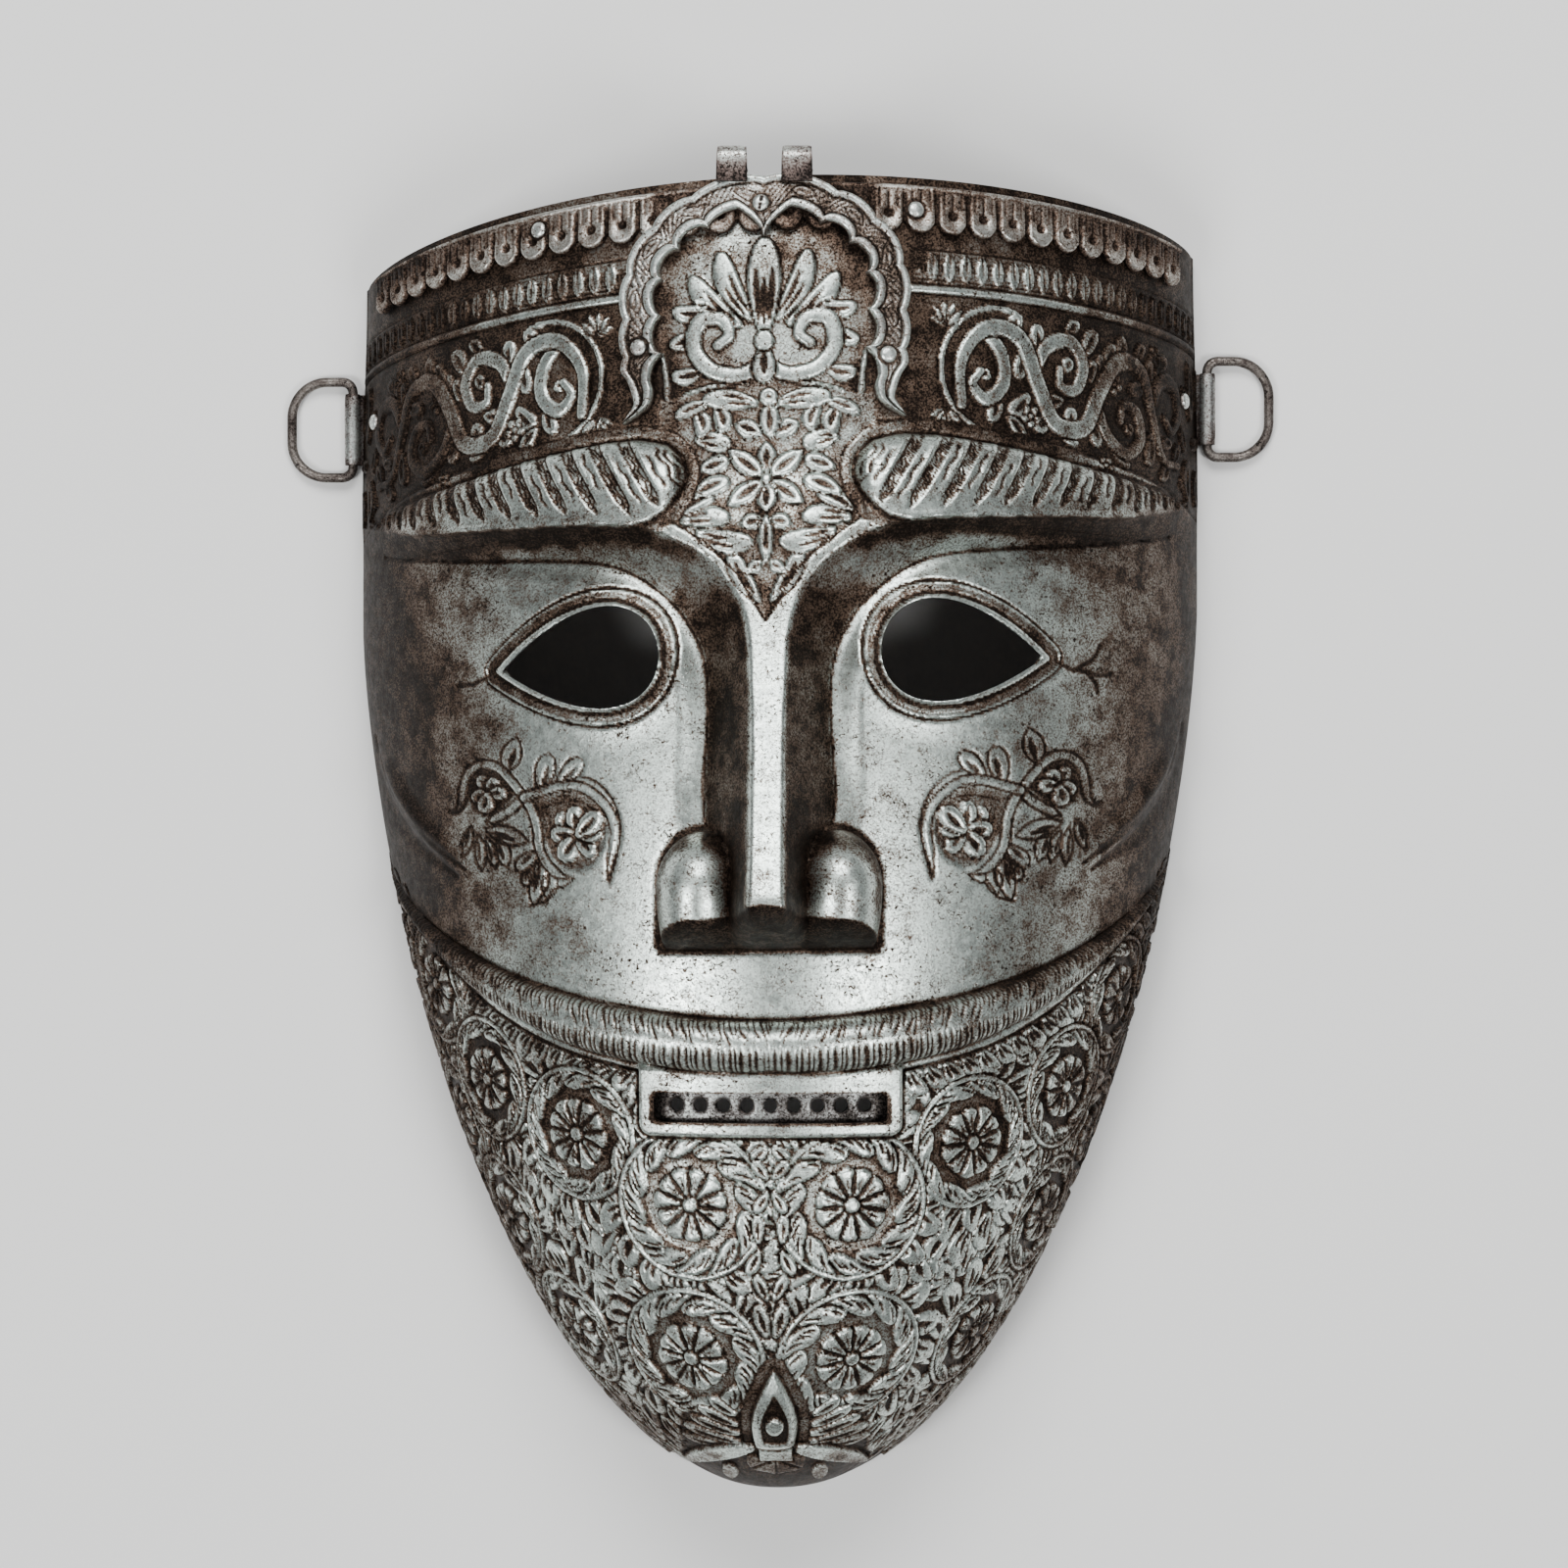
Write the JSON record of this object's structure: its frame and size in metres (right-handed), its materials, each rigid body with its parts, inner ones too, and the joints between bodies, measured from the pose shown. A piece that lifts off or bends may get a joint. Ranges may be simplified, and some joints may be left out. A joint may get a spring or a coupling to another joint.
{
  "type": "iron warrior face mask",
  "caption": "Embossed and engraved iron face mask with open eyes, a pierced mouth strip, hinge knuckles at the rim and a strap ring at each side.",
  "frame": {"origin": "centre of the overall box in X and Y, on the plane that the mask's rear edge rests on", "axes": "+Z out of the face, +Y towards the top of the forehead, +X to the right seen from the front"},
  "size_m": [0.2012, 0.265, 0.0891],
  "materials": {
    "worn_iron": "worn bright iron with brown-black patina in the recesses",
    "lappet_iron": "engraved iron with brown patina",
    "arch_iron": "engraved bright iron",
    "breath_plate_iron": "dull grey iron",
    "rivet_steel": "bright worn steel",
    "hinge_iron": "worn iron",
    "strap_iron": "worn iron",
    "ring_iron": "dark brown-grey iron wire"
  },
  "bodies": {
    "mask": {"mask_shell": "worn_iron", "lappet_strip": "lappet_iron", "cusped_arch": "arch_iron", "breath_plate": "breath_plate_iron", "arch_rivet_top": "rivet_steel", "arch_rivet_left": "rivet_steel", "arch_rivet_right": "rivet_steel", "lappet_rivet_left": "rivet_steel", "lappet_rivet_right": "rivet_steel", "strap_rivet_left": "rivet_steel", "strap_rivet_right": "rivet_steel", "hinge_loop_left": "hinge_iron", "hinge_loop_right": "hinge_iron", "ring_strap_left": "strap_iron", "ring_strap_right": "strap_iron"},
    "left_ring": {"strap_ring_left": "ring_iron"},
    "right_ring": {"strap_ring_right": "ring_iron"}
  },
  "joints": [
    {"name": "left_ring_swing", "type": "hinge", "parent": "mask", "child": "left_ring", "pos_m": [-0.087, 0.0832, 0.00175], "axis": [0, 1, 0], "range_deg": [-60, 85]},
    {"name": "right_ring_swing", "type": "hinge", "parent": "mask", "child": "right_ring", "pos_m": [0.087, 0.087, 0.00175], "axis": [0, -1, 0], "range_deg": [-60, 85]}
  ]
}
